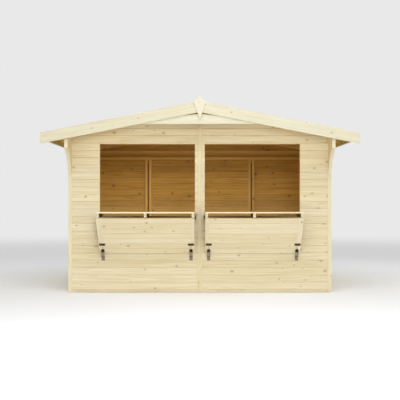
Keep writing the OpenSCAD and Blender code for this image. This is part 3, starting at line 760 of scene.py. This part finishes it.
def hollow(start, end, depth, steps=14):
    """Points of a shallow arc from start to end, hollowed to the left"""
    chord = math.dist(start, end)
    radius = (chord ** 2 / 4 + depth ** 2) / (2 * depth)
    half = math.asin(chord / 2 / radius)
    middle = (Vector(start) + Vector(end)) / 2
    forward = (Vector(end) - Vector(start)) / chord
    left = Vector((-forward.y, forward.x))
    centre = middle + left * (radius - depth)
    turns = [half * (2 * i / steps - 1) for i in range(steps + 1)]
    return [tuple(centre + radius * (forward * math.sin(turn) - left * math.cos(turn))) for turn in turns]


finials = Stock("finials")
low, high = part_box("finials")
SHOULDER = APEX - 0.015             # height of a finial's widest part
edge = hollow((0, high.z), (high.x, SHOULDER), 0.009)
outline = edge + [(0, low.z)] + [(-x, z) for x, z in edge[:0:-1]]
for y in (ROOF_FRONT - 2 * BARGE[0], ROOF_BACK + BARGE[0]):
    finials.panel(outline, (0, y, 0), X, Z, Y, BARGE[0], grain_up=True)
finials.done("trim", [planed_trim], stands_for=["finials"])

corbels = Stock("corbels")
low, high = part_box("corbels")
reach = high.y - low.y
NOSE = 0.112                        # depth of a corbel's front end
CORBEL = 0.045                      # its thickness
curve = hollow((reach, high.z - NOSE), (0, low.z), 0.060)
for side in SIDES.values():
    corbels.panel([(0, high.z), (reach, high.z)] + curve, (side * high.x, high.y, 0), -Y, Z, X * -side, CORBEL,
                  grain_up=True)
corbels.done("trim", [strip_pine], stands_for=["corbels"])

# ---- flaps and bar tops ----
FLAP_BOARDS, BAR_BOARDS = 7, 5
LONG_STILE = 0.8                    # before it is cut level
BAR_BOARD = (BAR_Y[1] - BAR_Y[0]) / BAR_BOARDS
flap_up = Vector((0, -math.sin(LEAN), math.cos(LEAN)))
flap_in = Vector((0, math.cos(LEAN), math.sin(LEAN)))

for name, side in SIDES.items():
    out = X * side                  # away from the pier
    face = FLAP_AXIS + flap_in * FLAP_FACE
    behind = FLAP_AXIS + flap_in * (FLAP_FACE + BOARD)

    boards = Stock("flap_shiplap_" + name)
    left, right = FLAP_X[0] + STILE, FLAP_X[1] - OUTER_STILE
    for i in range(FLAP_BOARDS):
        foot = behind + out * left + flap_up * (i * COVER - FLAP_BELOW)
        boards.run(SHIPLAP, foot, out, right - left, -flap_in, flap_up, SHIPLAP_BACK, SHIPLAP_HOLLOW)
    # the ripped top edge takes the dark inside finish, painted shade under the bar top
    boards.cut(FLAP_AXIS + flap_up * FLAP_ABOVE, flap_up, ripped=True)
    boards.done("cladding", [flap_pine_painted_light, shiplap_back], "flap_" + name, ["flap_boards_" + name])

    stiles = Stock("flap_stiles_" + name)
    for x, width in ((FLAP_X[0], STILE), (FLAP_X[1] - OUTER_STILE, OUTER_STILE)):
        stiles.run(eased(width, BOARD, 0.0015), face + out * x - flap_up * FLAP_BELOW, flap_up,
                   FLAP_BELOW + FLAP_ABOVE, out, flap_in)
    backs = []
    for x in (FLAP_X[0], (FLAP_X[0] + FLAP_X[1] - STILE) / 2, FLAP_X[1] - STILE):
        backs += stiles.run(eased(STILE, FLAP_DEPTH - BOARD), behind + out * x, flap_up, LONG_STILE, out, flap_in)
    stiles.cut(Z * FLAP_TOP, Z, backs)
    stiles.done("trim", [flap_pine_painted_light], "flap_" + name, ["flap_stiles_" + name])

    bar = Stock("bar_boards_" + name)
    for i in range(BAR_BOARDS):
        bar.run(eased(BAR_BOARD, BAR_Z[1] - BAR_Z[0], 0.0025),
                (side * BAR_X[0], BAR_Y[0] + i * BAR_BOARD, BAR_Z[0]), out, BAR_X[1] - BAR_X[0], Y, Z)
    bar.done("bar_boards", [bar_planks], "bar_" + name, ["bar_top_" + name])

    screws = Stock("bar_screws_" + name)
    for x in (BAR_X[0] + 0.019, (BAR_X[0] + BAR_X[1]) / 2, BAR_X[1] - 0.019):
        for i in range(BAR_BOARDS):
            for share in (0.28, 0.72):
                screws.dome((side * x, BAR_Y[0] + (i + share) * BAR_BOARD, BAR_Z[1]), Z, BAR_SCREW)
    screws.done("bar_boards", [nail_heads], "bar_" + name)

    bolts = Stock("flap_hinge_bolts_" + name)
    for x in HINGES:
        for across, up in ((-0.032, 0.125), (0.032, 0.125), (0, 0.125), (0, 0.055)):
            place = FLAP_AXIS + out * (x + across) + flap_in * (FLAP_FACE - IRON) + flap_up * up
            bolts.dome(place, -flap_in, LEAF_BOLT)
    bolts.done("zinc_plate", [zinc_bolts], "flap_" + name)

bolts = Stock("strap_bolts")
for side in SIDES.values():
    for x in HINGES:
        for z in (0.447, 0.468):
            bolts.dome((side * x, -HALF - IRON, z), -Y, STRAP_BOLT)
bolts.done("zinc_plate", [zinc_bolts])

bolts = Stock("ironwork_bolts")
for side in SIDES.values():
    for x in TURN_BUTTONS:
        bolts.dome((side * x, -HALF - 0.058, 1.025), -Y, BUTTON_SCREW)
low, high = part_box("door_ledges")
edge = DOOR_Y[0]                    # the hinges' plates lie on the wall before it, their straps on the door
for z in (low.z + LEDGE / 2, (low.z + high.z) / 2, high.z - LEDGE / 2):
    for y in (edge - 0.018, edge + 0.05, edge + 0.17, edge + 0.29, edge + 0.36):
        bolts.dome((HALF + IRON, y, z), X, DOOR_BOLT)
    for rise in (-0.024, 0.024):
        bolts.dome((HALF + IRON, edge - 0.018, z + rise), X, DOOR_BOLT)
bolts.done("black_iron", [black_iron])

# ---- finishes of the frame's own parts ----
looks = {
    bearer_timber: ["floor_bearers"],
    inner_timber["x"]: ["front_rails", "back_rails", "gable_rails", "rafters"],
    tie_timber: ["back_tie_board"],
    inner_timber["y"]: ["left_rails", "right_rails", "ridge_beam", "purlins", "door_ledges"],
    inner_timber["z"]: ["front_posts", "left_studs", "right_studs", "back_studs"],
    plate_timber: ["gable_plate"],
    fascia_timber: ["eaves_fascias"],
    bearer_pine: ["bar_bearers_left", "bar_bearers_right"],
    beam_timber: ["canopy_beams"],
    black_iron: ["turn_buttons", "door_ironwork", "sill_hinge_leaves",
                 "bar_hinge_leaves_left", "bar_hinge_leaves_right"],
    strap_plate: ["flap_hinge_straps"],
    leaf_plate: ["flap_hinge_leaves_left", "flap_hinge_leaves_right"],
}
for finish, names in looks.items():
    for name in names:
        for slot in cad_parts[name].material_slots:
            slot.material = finish

# ---- studio ----
AIR, FAR_FLOOR = (0.815, 0.815, 0.815), (0.64, 0.64, 0.64)  # as the camera sees them
# the floor near the bar as the camera sees it, darker left and paler right: painted light from the right
NEAR_LEFT, NEAR_RIGHT = (0.85, 0.86, 0.87), (0.94, 0.95, 0.965)
LIT_AIR, LIT_FLOOR = (0.45, 0.45, 0.45), (0.90, 0.90, 0.90)  # as they light the bar
DISC = 400                          # radius of the floor
WARM = (1, 0.87, 0.62)


def studio_floor():
    """Pale floor, seen darker to the left and paler to the right, which is painted light. Further off it turns
    grey and then to the air's own tone, for the camera only.
    """
    f = Finish("studio_floor")
    shown = f.shown()
    x, y, _ = f.parts(f.place())
    away = f.maths("SQRT", x * x + (y + 4) * (y + 4))  # from a point in front of the bar
    far = f.node("ShaderNodeEmission", inputs={"Color": f.mix(f.step(away, 13.0, 23.0), FAR_FLOOR, AIR)})
    near = Wire(f, f.shader.outputs[0])
    mixed = f.node("ShaderNodeMixShader", inputs={0: f.step(away, 6.5, 11.0) * shown, 1: near, 2: far})
    f.plug(f.output.inputs["Surface"], mixed)
    seen = f.mix(f.step(x, -5.0, 5.0), NEAR_LEFT, NEAR_RIGHT)
    return f.set(Base_Color=f.mix(shown, LIT_FLOOR, seen), Roughness=0.9, Specular_IOR_Level=0.0)


def studio_air():
    """Even light from all round, seen as a pale grey"""
    f = Finish("studio_air", world=True)
    return f.set(Color=f.mix(f.shown(), LIT_AIR, AIR), Strength=1.0)


ground = bmesh.new()
turns = [math.tau * i / 64 for i in range(64)]
ground.faces.new([ground.verts.new((DISC * math.cos(turn), DISC * math.sin(turn), 0)) for turn in turns])
ground_mesh = bpy.data.meshes.new("studio_floor")
ground.to_mesh(ground_mesh)
ground.free()
ground_mesh.materials.append(studio_floor())
floor_disc = bpy.data.objects.new("studio_floor", ground_mesh)
bpy.context.collection.objects.link(floor_disc)


def lamp(name, place, target, size, watts, colour=(1, 1, 1)):
    """A soft lamp, size wide and high, that faces a point"""
    light = bpy.data.lights.new(name, "AREA")
    light.shape, (light.size, light.size_y) = "RECTANGLE", size
    light.energy, light.color = watts, colour
    obj = bpy.data.objects.new(name, light)
    obj.location = place
    obj.rotation_euler = (Vector(target) - Vector(place)).to_track_quat("-Z", "Y").to_euler()
    obj.visible_camera = False
    bpy.context.collection.objects.link(obj)


lamp("key", (6, -13, 7), (0, -1.8, 1.2), (7, 7), 120)
lamp("front", (0.5, -13, 3.1), (0, -1.8, 1.2), (1.8, 1.8), 300)
lamp("bounce", (0, -6, 0.05), (0, -1.9, 2.2), (5, 1), 28, WARM)
lamp("top", (0, -6.5, 7), (0, -5.5, 0), (5, 5), 260)
lamp("back", (0, 12, 5), (0, 1.8, 1.2), (7, 7), 420)
for side in SIDES.values():
    lamp("beside", (side * 12, 1, 5), (side * 1.8, 0, 1.2), (7, 7), 300)
lamp("inside_down", (-0.5, -0.3, 2.0), (-0.5, -0.3, 0), (2.2, 2.6), 14, WARM)
lamp("inside_back", (0, -1.5, 1.9), (0, 1.8, 2.1), (0.6, 0.6), 12, WARM)
lamp("canopy", (0, -2.02, 1.75), (0, -1.9, 2.3), (3.3, 0.15), 1.4, WARM)

bpy.context.scene.world = studio_air()

camera_data = bpy.data.cameras.new("camera")
camera_data.lens = 84.6
camera_data.sensor_width = 36
camera_data.shift_x = 0.0004
camera_data.shift_y = -0.00425
camera = bpy.data.objects.new("camera", camera_data)
camera.location = (0, -14.67, 1.286)
camera.rotation_euler = (math.radians(90), 0, 0)
bpy.context.collection.objects.link(camera)
bpy.context.scene.camera = camera
bpy.context.scene.view_settings.view_transform = "Standard"
